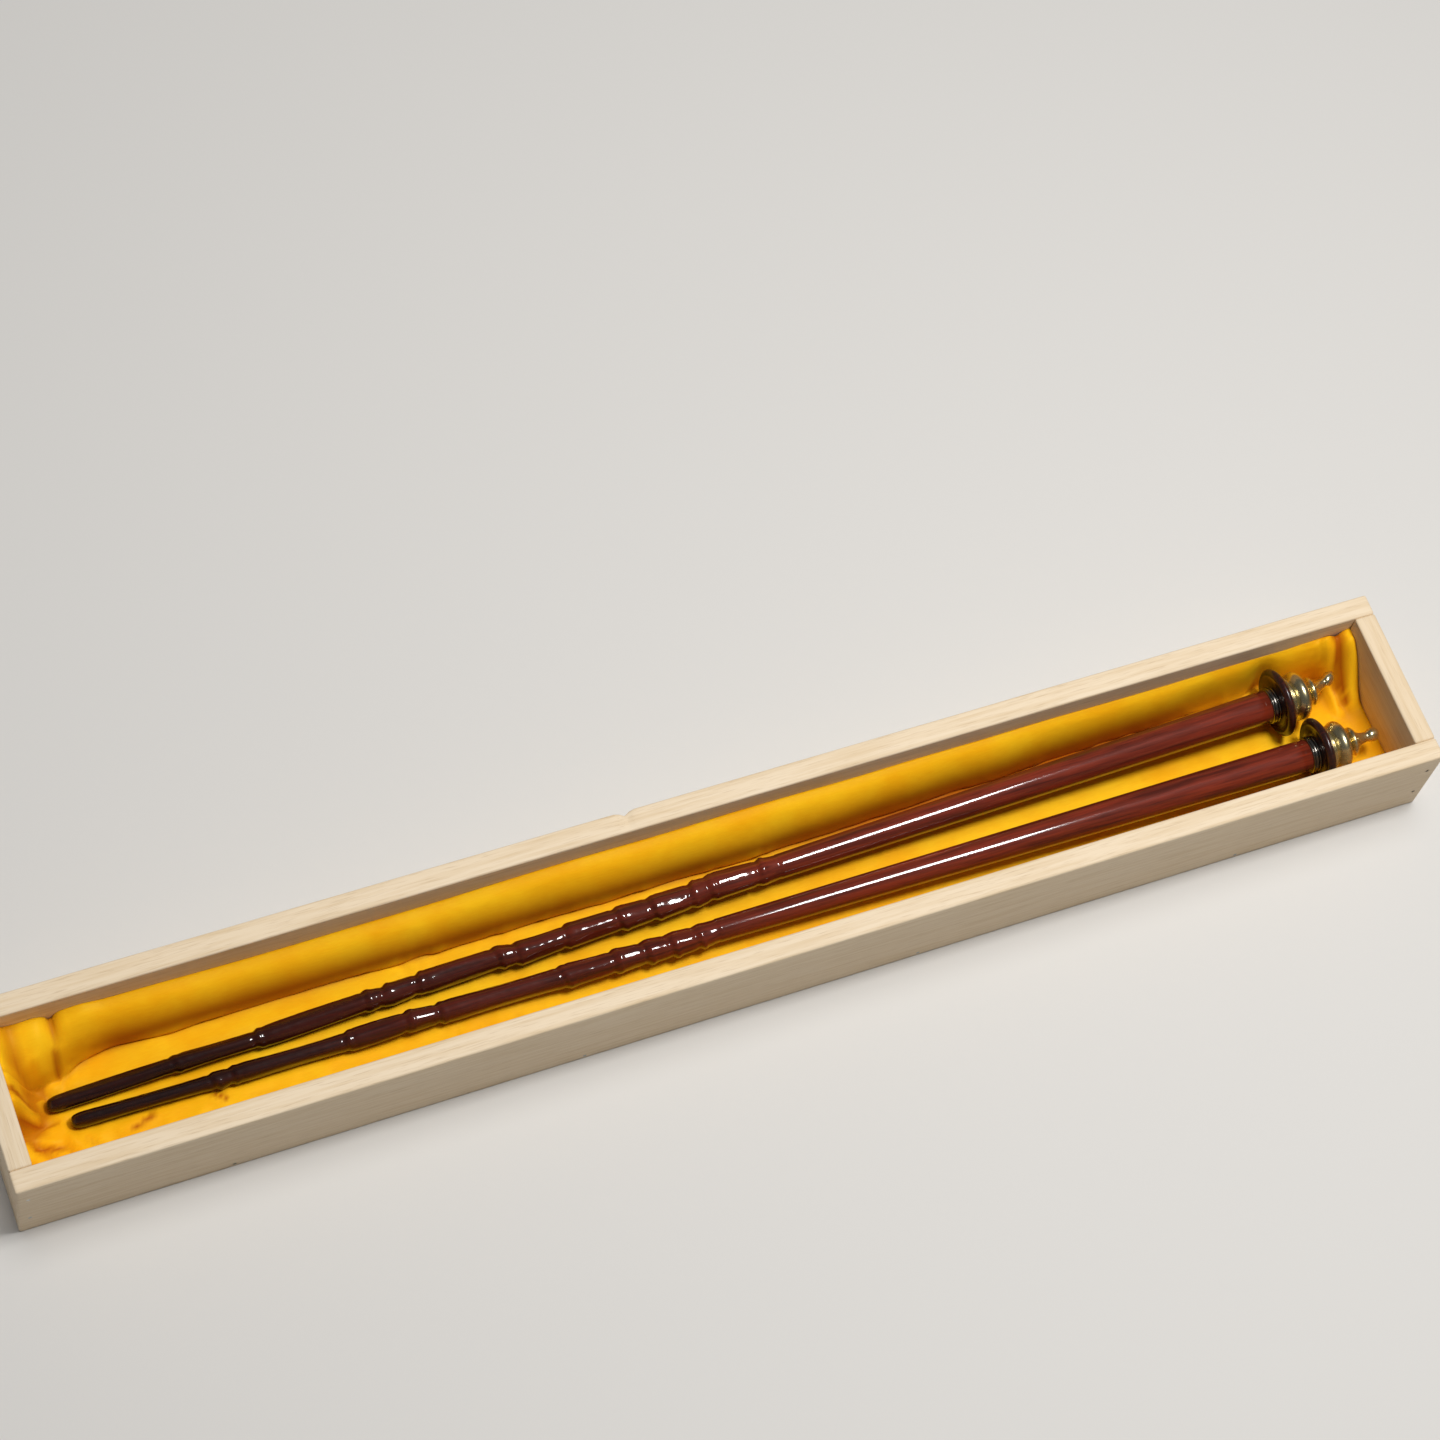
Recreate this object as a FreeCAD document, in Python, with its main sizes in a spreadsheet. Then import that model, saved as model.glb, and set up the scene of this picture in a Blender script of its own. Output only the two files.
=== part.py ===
import FreeCAD, Part
import math
import os

import Sketcher
from FreeCAD import Vector

# A cased pair of long slender percussion sticks. An open wooden tray, lined with satin over wadding,
# holds two tapering sticks, each with a turned finial on its butt end.
# Millimetres. +X runs along the case towards the finials, +Y towards the case's rear side, +Z up.
# The origin is at the middle of the case's underside. The case is sized around the pair.

doc = FreeCAD.newDocument("CasedSticks")
sheet = doc.addObject("Spreadsheet::Sheet", "Sizes")

sizes = {
    # case boards
    "BoardThickness": 7.0,
    "PanelThickness": 4.0,  # the base panel, set in flush between the boards
    "EdgeRounding": 0.6,
    "TipRoom": 10.4,  # from the left end board to the rear stick's tip
    "FinialRoom": 8.6,  # from the rear stick's finial to the right end board
    "RearRoom": 3.1,  # from the rear board to the rear stick's flange
    "FrontRoom": 0.7,
    "TopRoom": 4.0,  # from the top of a flange to the rim
    # brads
    "BradDiameter": 1.2,
    "BradLength": 16.0,
    "BradSpacing": 110.0,  # between the brads that hold the base panel
    "BradFit": 0.02,
    # lining
    "WaddingThickness": 3.2,
    "SatinThickness": 0.4,
    "LiningGap": 0.1,  # between the lining and the boards
    "RollWidth": 7.3,
    "RollEndWidth": 4.2,
    "RollHeight": 17.0,
    "RollShoulder": 7.4,  # where the roll's front face turns into its round top
    "RollEndGap": 2.0,  # from the end of the roll to the flange beside it
    "RollTaper": 190.0,  # the length over which the roll narrows towards the flange
    "TuckClearance": 0.8,  # from the tuck behind the rear finial to its widest piece
    "RearTuckHeight": 13.0,
    "FrontTuckWidth": 3.0,
    "FrontTuckHeight": 10.0,
    "GatherWidth": 8.0,
    "GatherHeight": 10.0,
    "FlapWidth": 6.0,
    "FlapClearance": 0.85,  # from the flap up to the finial over it
    "TuckRounding": 1.4,
    # a stick's shaft
    "ShaftLength": 404.0,
    "ButtDiameter": 10.6,
    "WaistDiameter": 7.8,  # where the smooth taper meets the carved stretch
    "ThinDiameter": 5.6,
    "TipDiameter": 3.8,
    "WaistShare": 0.43,  # how far along the shaft the waist is
    "ThinShare": 0.80,
    "KnotRise": 0.45,
    "KnotWidth": 2.6,
    # a stick's fittings, in order from the shaft
    "CollarLength": 2.7,
    "CollarStandOut": 0.6,  # how far the collar stands out from the butt
    "CollarWall": 0.9,
    "CollarFit": 0.02,
    "FlangeDiameter": 22.4,
    "FlangeThickness": 3.0,
    "FlangeRounding": 1.1,
    "WasherDiameter": 18.0,
    "WasherThickness": 2.0,
    "WasherStep": 1.3,
    "BulbDiameter": 16.0,
    "BulbLength": 6.2,
    "BulbFootDiameter": 12.0,
    "NeckDiameter": 6.0,
    "BeadDiameter": 9.4,
    "BeadLength": 2.8,
    "NeckLength": 0.6,
    "SpireLength": 11.8,
    "SpireBallDiameter": 4.4,
    "SpireWaistDiameter": 2.6,
    "StudDiameter": 3.0,
    "StudGrip": 12.0,  # how deep the stud sits in the shaft
    "StudReach": 15.0,  # how far it stands out of the shaft
    "StudFit": 0.02,
    # how the pair lies in the case
    "StickGap": 0.6,  # between a flange and the bulb beside it
    "StickStagger": 5.4,
    "RestGap": 0.35,  # between the sticks and the lining that they lie on
    "TipRise": 3.0,  # from the lining to the axis at the tip
    "RearTipY": 0.8,
    "FrontTipY": -6.0,
}
for row, (name, value) in enumerate(sizes.items(), start=1):
    sheet.set(f"A{row}", name)
    sheet.set(f"B{row}", str(value))
    sheet.setAlias(f"B{row}", name)
doc.recompute()

# Where the carved rings stand, as shares of the shaft's length from the flange.
rear_knots = [0.479, 0.494, 0.526, 0.553, 0.596, 0.636, 0.651, 0.713, 0.740, 0.755, 0.838, 0.902]
front_knots = [0.515, 0.537, 0.557, 0.582, 0.622, 0.719, 0.744, 0.789, 0.878, 0.891]


def size(text):
    """An expression on the sheet's cells: every capitalised word in it is an alias."""
    words = text.replace("(", "( ").replace(")", " )").split()
    return " ".join(f"Sizes.{w}" if w in sizes else w for w in words)


def value(expression):
    """What an expression comes to now, as a plain number."""
    result = sheet.evalExpression(expression)
    return float(getattr(result, "Value", result))


# Sizes of the case that follow from the pair it holds.
finial_length = size("( FlangeThickness + WasherThickness + BulbLength + SpireLength )")
inner_length = size(f"( TipRoom + ShaftLength + {finial_length} + FinialRoom )")
axis_spacing = size("( FlangeDiameter / 2 + BulbDiameter / 2 + StickGap )")
inner_width = size(f"( RearRoom + FlangeDiameter + {axis_spacing} + FrontRoom )")
outer_length = size(f"( {inner_length} + 2 * BoardThickness )")
outer_width = size(f"( {inner_width} + 2 * BoardThickness )")
floor_top = size("( PanelThickness + WaddingThickness + SatinThickness )")
case_height = size(f"( {floor_top} + FlangeDiameter + TopRoom )")

# Where each stick's flange meets its shaft, and how the stick is turned.
rear_x = size(f"( {inner_length} / 2 - FinialRoom - {finial_length} )")
rear_y = size(f"( {inner_width} / 2 - RearRoom - FlangeDiameter / 2 )")
front_x = size(f"( {rear_x} + StickStagger )")
front_y = size(f"( {rear_y} - {axis_spacing} )")
axis_z = size(f"( {floor_top} + FlangeDiameter / 2 + RestGap )")
slope = size("asin( ( FlangeDiameter / 2 + RestGap - TipRise ) / ShaftLength )")
collar_radius = size("( ButtDiameter / 2 + CollarStandOut )")


def stick_placement(x, y, tip_y):
    """The stick's axis is its local Z, from the tip towards the finial."""
    yaw = size(f"asin( ( {y} - {tip_y} ) / ShaftLength )")
    return (
        f"create(<<placement>>; create(<<vector>>; {x}; {y}; {axis_z}); "
        f"create(<<rotation>>; {yaw}; 90 deg - {slope}; 0 deg))"
    )


def new_body(label, placement=None):
    body = doc.addObject("PartDesign::Body", label)
    body.Label = label
    if placement:
        body.setExpression("Placement", placement)
    return body


def move_body(body, x="0", y="0", z="0"):
    for axis, expression in zip("xyz", (x, y, z)):
        body.setExpression(f"Placement.Base.{axis}", f"( {expression} ) * 1 mm")


def new_sketch(body, role, name, offset=None):
    sketch = body.newObject("Sketcher::SketchObject", name)
    plane = next(p for p in body.Origin.OriginFeatures if p.Role == role)
    sketch.AttachmentSupport = [(plane, "")]
    sketch.MapMode = "FlatFace"
    if offset:
        sketch.setExpression("AttachmentOffset.Base.z", f"( {offset} ) * 1 mm")
    return sketch


def bind(sketch, constraint, expression):
    index = sketch.addConstraint(constraint)
    sketch.setExpression(f"Constraints[{index}]", expression)


def pin_point(sketch, geometry, end, u, v):
    """Ties one end of a line or arc to its distances from the sketch's origin."""
    bind(sketch, Sketcher.Constraint("DistanceX", -1, 1, geometry, end, value(u)), u)
    bind(sketch, Sketcher.Constraint("DistanceY", -1, 1, geometry, end, value(v)), v)


def round_to(reach, rise):
    """The radius of an arc that is tangent at its widest point and falls back by reach over rise."""
    return f"( ( ( {reach} ) ^ 2 + ( {rise} ) ^ 2 ) / ( 2 * ( {reach} ) ) )"


def arc_between(start, end, radius):
    """A minor arc that bulges to the right of the way from start to end."""
    chord = end - start
    middle = (start + end) * 0.5
    right = Vector(chord.y, -chord.x, 0).normalize()
    rise = radius - math.sqrt(max(radius**2 - (chord.Length / 2) ** 2, 0))
    return Part.ArcOfCircle(start, middle + right * rise, end)


def closed_outline(sketch, corners):
    """Draws the corners (u, v), which go round anticlockwise.

    A third value rounds the way that leads to that corner, outwards by that radius, and a fourth,
    "hollow", rounds it inwards. A hollow arc runs the other way round, so its ends change places.
    """
    points = [Vector(value(c[0]), value(c[1]), 0) for c in corners]
    ends = []
    for i, corner in enumerate(corners):
        start, end = points[i - 1], points[i]
        if len(corner) == 4:
            curve = arc_between(end, start, value(corner[2]))
        elif len(corner) == 3:
            curve = arc_between(start, end, value(corner[2]))
        else:
            curve = Part.LineSegment(start, end)
        ends.append((2, 1) if len(corner) == 4 else (1, 2))
        sketch.addGeometry(curve)
    for i, corner in enumerate(corners):
        before = (i - 1) % len(corners)
        sketch.addConstraint(Sketcher.Constraint("Coincident", before, ends[before][1], i, ends[i][0]))
        if len(corner) > 2:
            bind(sketch, Sketcher.Constraint("Radius", i, value(corner[2])), corner[2])
    for i, corner in enumerate(corners):
        pin_point(sketch, i, ends[i][1], corner[0], corner[1])


def revolved(label, placement, corners):
    """A turned piece: corners are (distance from the axis, place along the axis)."""
    body = new_body(label, placement)
    sketch = new_sketch(body, "XZ_Plane", label + "_section")
    closed_outline(sketch, corners)
    turn = body.newObject("PartDesign::Revolution", label + "_turned")
    turn.Profile = sketch
    turn.ReferenceAxis = (sketch, ["V_Axis"])
    turn.Angle = 360
    return body


def block(label, length, width, height, x="0", y="0", z="0"):
    """A rectangular piece, centred on its place in X and Y and standing on it in Z."""
    body = new_body(label)
    sketch = new_sketch(body, "XY_Plane", label + "_plan")
    half_l, half_w = f"{length} / 2", f"{width} / 2"
    closed_outline(
        sketch,
        [
            (f"0 - {half_l}", f"0 - {half_w}"),
            (half_l, f"0 - {half_w}"),
            (half_l, half_w),
            (f"0 - {half_l}", half_w),
        ],
    )
    pad = body.newObject("PartDesign::Pad", label + "_pad")
    pad.Profile = sketch
    pad.setExpression("Length", height)
    move_body(body, x, y, z)
    return body, pad


def lofted_along_x(label, sections):
    """A piece lofted straight through sections in planes across X: each is (x, corners)."""
    body = new_body(label)
    sketches = []
    for number, (x, corners) in enumerate(sections):
        sketch = new_sketch(body, "YZ_Plane", f"{label}_section_{number}", x)
        closed_outline(sketch, corners)
        sketches.append(sketch)
    loft = body.newObject("PartDesign::AdditiveLoft", label + "_loft")
    loft.Profile = sketches[0]
    loft.Sections = sketches[1:]
    loft.Ruled = True
    return body


def rounded(body, base, edges, radius):
    fillet = body.newObject("PartDesign::Fillet", body.Label + "_rounding")
    fillet.Base = (base, edges)
    fillet.setExpression("Radius", radius)
    return fillet


def edges_where(shape, test):
    """The names of a shape's straight edges that pass a test of their two end points."""
    names = []
    for number, edge in enumerate(shape.Edges, start=1):
        ends = [v.Point for v in edge.Vertexes]
        if len(ends) == 2 and test(*ends):
            names.append(f"Edge{number}")
    return names


def drilled(body, name, face_y, into, centres, depth):
    """Blind or through brad holes along Y from a plane at face_y: into is +1 or -1."""
    sketch = new_sketch(body, "XZ_Plane", name, f"0 - {face_y}")
    bore = size("BradDiameter / 2 + BradFit")
    for x, z in centres:
        index = sketch.addGeometry(Part.Circle(Vector(value(x), value(z), 0), Vector(0, 0, 1), value(bore)))
        bind(sketch, Sketcher.Constraint("Radius", index, value(bore)), bore)
        pin_point(sketch, index, 3, x, z)
    doc.recompute()
    before = body.Shape.Volume
    pocket = body.newObject("PartDesign::Pocket", name + "_holes")
    pocket.Profile = sketch
    pocket.setExpression("Length", depth)
    pocket.Reversed = into < 0
    doc.recompute()
    removed = before - body.Shape.Volume
    expected = len(centres) * math.pi * value(bore) ** 2 * value(depth)
    if abs(removed - expected) > 0.02 * expected:
        raise RuntimeError(f"{name}: removed {removed:.2f} mm3, not {expected:.2f}")


def brads(label, places):
    """A group of brads along Y: each place is (x, outer face y, z, way in)."""
    pins = []
    for number, (x, y, z, into) in enumerate(places, start=1):
        pin = doc.addObject("Part::Cylinder", f"{label}_pin_{number}")
        pin.setExpression("Radius", size("BradDiameter / 2"))
        pin.setExpression("Height", size("BradLength"))
        pin.Placement.Rotation = FreeCAD.Rotation(Vector(1, 0, 0), -90 * into)
        for axis, expression in zip("xyz", (x, y, z)):
            pin.setExpression(f"Placement.Base.{axis}", f"( {expression} ) * 1 mm")
        pins.append(pin)
    group = doc.addObject("Part::Compound", label)
    group.Label = label
    group.Links = pins
    return group


def make_case():
    half_thickness = size("( BoardThickness / 2 )")
    half_width = f"( {outer_width} / 2 )"
    corner_x = size(f"( {inner_length} / 2 + BoardThickness / 2 )")
    corner_z = [f"( {case_height} * 0.3 )", f"( {case_height} * 0.75 )"]
    panel_z = size("( PanelThickness / 2 )")
    panel_x = [size("( 0 - 1.5 * BradSpacing )"), size("( 0 - 0.5 * BradSpacing )")]
    panel_x += [size("( 0.5 * BradSpacing )"), size("( 1.5 * BradSpacing )")]
    corner_spots = [(f"{side} * {corner_x}", z) for side in ("-1", "1") for z in corner_z]
    panel_spots = [(x, panel_z) for x in panel_x]
    grip = size("( BradLength - BoardThickness )")
    pieces = []

    for label, side in (("rear_side_board", 1), ("front_side_board", -1)):
        y = f"{side} * ( {inner_width} / 2 + {half_thickness} )"
        body, _ = block(label, outer_length, size("BoardThickness"), case_height, y=y)
        drilled(body, label + "_brads", f"{side} * {half_thickness}", -side, corner_spots + panel_spots,
                size("BoardThickness"))
        round_long_edges(body)
        pieces.append(body)

    for label, side in (("right_end_board", 1), ("left_end_board", -1)):
        x = f"{side} * {corner_x}"
        body, _ = block(label, size("BoardThickness"), inner_width, case_height, x=x)
        for end in (1, -1):
            name = label + ("_rear" if end > 0 else "_front")
            drilled(body, name, f"{end} * {inner_width} / 2", -end, [("0", z) for z in corner_z], grip)
        pieces.append(body)

    panel, _ = block("base_panel", inner_length, inner_width, size("PanelThickness"))
    for end in (1, -1):
        name = "base_panel" + ("_rear" if end > 0 else "_front")
        drilled(panel, name, f"{end} * {inner_width} / 2", -end, panel_spots, grip)
    pieces.append(panel)

    both = ((half_width, -1), (f"0 - {half_width}", 1))
    pieces.append(brads("corner_brads", [(x, y, z, into) for y, into in both for x, z in corner_spots]))
    pieces.append(brads("base_brads", [(x, y, z, into) for y, into in both for x, z in panel_spots]))
    return pieces


def round_long_edges(body):
    """Takes the sharpness off a side board's four long edges on the rim and the underside."""
    length = value(outer_length)
    base = body.Tip
    names = edges_where(base.Shape, lambda a, b: abs(abs(a.x - b.x) - length) < 1e-6)
    rounded(body, base, names, size("EdgeRounding"))


def make_lining():
    lined_length = size(f"( {inner_length} - 2 * LiningGap )")
    lined_width = size(f"( {inner_width} - 2 * LiningGap )")
    left = f"( 0 - {lined_length} / 2 )"
    back = f"( {lined_width} / 2 )"
    pieces = [block("floor_wadding", lined_length, lined_width, size("WaddingThickness"),
                    z=size("PanelThickness"))[0]]

    # The satin lies over the wadding and turns up over the roll along the rear board.
    satin, _ = block("satin_cover", lined_length, lined_width, size("SatinThickness"),
                     z=size("( PanelThickness + WaddingThickness )"))
    pieces.append(satin)

    # The roll keeps its full width over the thin ends, then narrows beside the butts.
    bend_x = size(f"( {rear_x} - RollTaper )")
    end_x = size(f"( {rear_x} - RollEndGap )")
    stations = [(left, size("RollWidth")), (bend_x, size("RollWidth")), (end_x, size("RollEndWidth"))]
    pieces.append(lofted_along_x("rear_roll", [(x, roll_section(back, w)) for x, w in stations]))
    pieces.append(lofted_along_x("roll_sleeve", [(x, sleeve_section(back, w)) for x, w in stations]))

    tuck_start = size(f"( {rear_x} + FlangeThickness + RollEndGap )")
    tuck_length = size(f"( {lined_length} / 2 - FlapWidth - LiningGap - {tuck_start} )")
    tuck_width = size(f"( {back} - {rear_y} - WasherDiameter / 2 - TuckClearance )")
    pieces.append(tuck("rear_tuck", tuck_length, tuck_width, size("RearTuckHeight"),
                       f"( {tuck_start} + {tuck_length} / 2 )", f"( {back} - {tuck_width} / 2 )"))
    front_length = size(f"( {front_x} - RollEndGap - {left} )")
    pieces.append(tuck("front_tuck", front_length, size("FrontTuckWidth"), size("FrontTuckHeight"),
                       f"( {left} + {front_length} / 2 )",
                       size(f"( 0 - {back} + FrontTuckWidth / 2 )")))
    gather_width = size(f"( {lined_width} - RollWidth - SatinThickness - FrontTuckWidth - 2 * LiningGap )")
    pieces.append(tuck("left_gather", size("GatherWidth"), gather_width, size("GatherHeight"),
                       size(f"( {left} + GatherWidth / 2 )"),
                       size(f"( 0 - {back} + FrontTuckWidth + LiningGap + {gather_width} / 2 )")))
    flap_width = size(f"( {lined_width} - 2 * LiningGap )")
    flap_height = size(f"( {axis_z} - SpireBallDiameter / 2 - FlapClearance - {floor_top} )")
    pieces.append(tuck("right_flap", size("FlapWidth"), flap_width, flap_height,
                       size(f"( {lined_length} / 2 - FlapWidth / 2 )"), "0"))
    return pieces


def tuck(label, length, width, height, x, y):
    """A soft fold of cloth: a block on the lining's floor with its upper edges rounded."""
    body, pad = block(label, length, width, height, x, y, floor_top)
    doc.recompute()
    top = value(height)
    names = edges_where(pad.Shape, lambda a, b: abs(a.z - top) < 1e-6 and abs(b.z - top) < 1e-6)
    rounded(body, pad, names, size(f"min( TuckRounding ; 0.45 * {length} ; 0.45 * {width} )"))
    return body


def roll_section(back, width):
    """The padded roll: flat on the floor and the rear board, with a round top and front."""
    front = size(f"( {back} - {width} )")
    top = size(f"( {floor_top} + RollHeight )")
    shoulder = size(f"( {floor_top} + RollShoulder )")
    radius = round_to(width, size("RollHeight - RollShoulder"))
    return [(front, floor_top), (back, floor_top), (back, top), (front, shoulder, radius)]


def sleeve_section(back, width):
    """The satin over the roll, one thickness outside it."""
    (front, bottom), _, (_, top), (_, shoulder, radius) = roll_section(back, width)
    outer_front = size(f"( {front} - SatinThickness )")
    return [
        (outer_front, bottom),
        (front, bottom),
        (front, shoulder),
        (back, top, radius, "hollow"),
        (back, size(f"( {top} + SatinThickness )")),
        (outer_front, shoulder, radius),
    ]


def taper(share):
    """The shaft's radius at a share of its length from the flange, as an expression."""
    if share <= sizes["WaistShare"]:
        start, end, first, last = "0", "WaistShare", "ButtDiameter", "WaistDiameter"
    elif share <= sizes["ThinShare"]:
        start, end, first, last = "WaistShare", "ThinShare", "WaistDiameter", "ThinDiameter"
    else:
        start, end, first, last = "ThinShare", "1", "ThinDiameter", "TipDiameter"
    return size(f"( ( {first} + ( {last} - {first} ) * ( {share} - {start} ) / ( {end} - {start} ) ) / 2 )")


def shaft_corners(knots):
    """A tapered shaft with carved rings, a seat for the collar and a blind bore for the stud."""
    bore = size("( StudDiameter / 2 + StudFit )")
    depth = size("( 0 - StudGrip - StudFit )")
    seat = size(f"( {collar_radius} - CollarWall )")
    corners = [("0", size("( 0 - ShaftLength )")), (size("( TipDiameter / 2 )"), size("( 0 - ShaftLength )"))]
    stations = [(share, True) for share in knots]
    stations += [(sizes["WaistShare"], False), (sizes["ThinShare"], False)]
    for share, is_ring in sorted(stations, reverse=True):
        place = size(f"( 0 - {share} * ShaftLength )")
        if is_ring:
            corners.append((taper(share), size(f"( {place} - KnotWidth / 2 )")))
            corners.append((size(f"( {taper(share)} + KnotRise )"), place))
            corners.append((taper(share), size(f"( {place} + KnotWidth / 2 )")))
        else:
            corners.append((taper(share), place))
    shoulder = size("( 0 - CollarLength )")
    corners += [(size("( ButtDiameter / 2 )"), shoulder), (seat, shoulder), (seat, "0")]
    corners += [(bore, "0"), (bore, depth), ("0", depth)]
    return corners


def ring_corners(inner, outer, low, high):
    return [(inner, low), (outer, low), (outer, high), (inner, high)]


def make_stick(prefix, placement, knots):
    radius = {name: size(f"( {name}Diameter / 2 )") for name in
              ("Flange", "Washer", "Bulb", "BulbFoot", "Neck", "Bead", "SpireBall", "SpireWaist")}
    bore = size("( StudDiameter / 2 + StudFit )")
    washer_low = size("FlangeThickness")
    bulb_low = size("( FlangeThickness + WasherThickness )")
    spire_low = size(f"( {bulb_low} + BulbLength )")
    pieces = [revolved(prefix + "_shaft", placement, shaft_corners(knots))]

    collar_bore = size(f"( {collar_radius} - CollarWall + CollarFit )")
    pieces.append(revolved(prefix + "_collar", placement, ring_corners(
        collar_bore, collar_radius, size("( 0 - CollarLength )"), "0")))

    # The flange's rim is rounded right across its thickness.
    rim = size("( FlangeDiameter / 2 - FlangeRounding )")
    rim_round = round_to(size("FlangeRounding"), size("FlangeThickness / 2"))
    pieces.append(revolved(prefix + "_flange", placement, [
        (bore, "0"), (rim, "0"), (rim, washer_low, rim_round), (bore, washer_low),
    ]))

    # Two steps lead from the flange down to the bulb's foot.
    step = size("( WasherDiameter / 2 - WasherStep )")
    mid = size("( FlangeThickness + WasherThickness / 2 )")
    pieces.append(revolved(prefix + "_stepped_washer", placement, [
        (bore, washer_low), (radius["Washer"], washer_low), (radius["Washer"], mid),
        (step, mid), (step, bulb_low), (bore, bulb_low),
    ]))

    # The bulb is widest at its middle, and its shoulder rolls in to the neck.
    bulb_mid = size(f"( {bulb_low} + BulbLength / 2 )")
    half_bulb = size("BulbLength / 2")
    foot_round = round_to(f"{radius['Bulb']} - {radius['BulbFoot']}", half_bulb)
    neck_round = round_to(f"{radius['Bulb']} - {radius['Neck']}", half_bulb)
    pieces.append(revolved(prefix + "_bulb", placement, [
        (bore, bulb_low), (radius["BulbFoot"], bulb_low), (radius["Bulb"], bulb_mid, foot_round),
        (radius["Neck"], spire_low, neck_round), (bore, spire_low),
    ]))

    # Neck, bead, cone and a ball at the very end.
    bead_low = size(f"( {spire_low} + NeckLength )")
    bead_high = size(f"( {bead_low} + BeadLength )")
    end = size(f"( {spire_low} + SpireLength )")
    ball_low = size(f"( {end} - SpireBallDiameter )")
    ball_mid = size(f"( {end} - SpireBallDiameter / 2 )")
    blind = size("( StudReach + StudFit )")
    bead_mid = size(f"( {bead_low} + BeadLength / 2 )")
    bead_round = round_to(f"{radius['Bead']} - {radius['Neck']}", size("BeadLength / 2"))
    ball_round = round_to(f"{radius['SpireBall']} - {radius['SpireWaist']}", size("SpireBallDiameter / 2"))
    pieces.append(revolved(prefix + "_spire", placement, [
        (bore, spire_low), (radius["Neck"], spire_low), (radius["Neck"], bead_low),
        (radius["Bead"], bead_mid, bead_round), (radius["Neck"], bead_high, bead_round),
        (radius["SpireWaist"], ball_low),
        (radius["SpireBall"], ball_mid, ball_round),
        ("0", end, radius["SpireBall"]),
        ("0", blind), (bore, blind),
    ]))

    pieces.append(revolved(prefix + "_stud", placement, ring_corners(
        "0", size("( StudDiameter / 2 )"), size("( 0 - StudGrip )"), size("StudReach"))))
    return pieces


def check(objects, pieces):
    for item in objects:
        if "Invalid" in item.State or "Error" in item.State:
            raise RuntimeError(f"{item.Name} failed: {item.State}")
    for piece in pieces:
        if piece.Shape.isNull() or not piece.Shape.isValid() or not piece.Shape.Solids:
            raise RuntimeError(f"{piece.Label} has no sound shape")


pieces = make_case() + make_lining()
pieces += make_stick("rear", stick_placement(rear_x, rear_y, size("RearTipY")), rear_knots)
pieces += make_stick("front", stick_placement(front_x, front_y, size("FrontTipY")), front_knots)
doc.recompute()
check(doc.Objects, pieces)

os.makedirs("parts", exist_ok=True)
for piece in pieces:
    piece.Shape.exportStep(f"parts/{piece.Label}.step")
    box = piece.Shape.BoundBox
    print(f"{piece.Label:22s} {len(piece.Shape.Solids):2d} solids {piece.Shape.Volume:10.1f} mm3  "
          f"x {box.XMin:8.2f} {box.XMax:8.2f}  y {box.YMin:7.2f} {box.YMax:7.2f}  z {box.ZMin:6.2f} {box.ZMax:6.2f}")
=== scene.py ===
import math
import random

import bmesh
import bpy
from mathutils import Matrix, Vector, noise


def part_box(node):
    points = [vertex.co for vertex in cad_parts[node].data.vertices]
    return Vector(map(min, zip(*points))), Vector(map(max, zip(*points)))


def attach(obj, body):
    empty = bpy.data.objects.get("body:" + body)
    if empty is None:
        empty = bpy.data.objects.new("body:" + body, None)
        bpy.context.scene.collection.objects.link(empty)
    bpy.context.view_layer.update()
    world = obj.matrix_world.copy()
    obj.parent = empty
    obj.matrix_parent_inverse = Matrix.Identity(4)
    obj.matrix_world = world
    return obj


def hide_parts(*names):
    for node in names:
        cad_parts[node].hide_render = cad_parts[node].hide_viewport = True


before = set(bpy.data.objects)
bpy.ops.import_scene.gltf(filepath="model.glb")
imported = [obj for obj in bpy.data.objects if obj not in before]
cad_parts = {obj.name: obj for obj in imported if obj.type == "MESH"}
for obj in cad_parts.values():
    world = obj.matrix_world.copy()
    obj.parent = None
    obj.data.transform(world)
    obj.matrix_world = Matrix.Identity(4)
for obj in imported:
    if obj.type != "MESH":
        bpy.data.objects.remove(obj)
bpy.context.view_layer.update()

mm = 0.001
scene = bpy.context.scene


# ---- small tools that every piece uses

def toLinear(hexColour):
    values = []
    for i in (0, 2, 4):
        c = int(hexColour[i:i + 2], 16) / 255
        values.append(c / 12.92 if c <= 0.04045 else ((c + 0.055) / 1.055) ** 2.4)
    return (*values, 1.0)


def addNode(tree, kind, settings=None, links=None):
    # settings go to input sockets by name or number, or else to the node's own properties
    node = tree.nodes.new(kind)
    for key, value in (settings or {}).items():
        if isinstance(key, int) or (isinstance(key, str) and key in node.inputs):
            node.inputs[key].default_value = value
        else:
            setattr(node, key, value)
    for key, source in (links or {}).items():
        tree.links.new(source, node.inputs[key])
    return node


def newMaterial(name, surface):
    # a material with only an output and one Principled shader, set from the surface's numbers
    material = bpy.data.materials.new(name)
    material.use_nodes = True
    tree = material.node_tree
    tree.nodes.clear()
    shader = addNode(tree, "ShaderNodeBsdfPrincipled", surface)
    addNode(tree, "ShaderNodeOutputMaterial", {}, {"Surface": shader.outputs[0]})
    return material, tree, shader


def meshPiece(name, bm, body, material, smooth=True):
    mesh = bpy.data.meshes.new(name)
    bm.to_mesh(mesh)
    bm.free()
    for face in mesh.polygons:
        face.use_smooth = smooth
    piece = bpy.data.objects.new(name, mesh)
    scene.collection.objects.link(piece)
    mesh.materials.append(material)
    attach(piece, body)
    return piece


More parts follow.
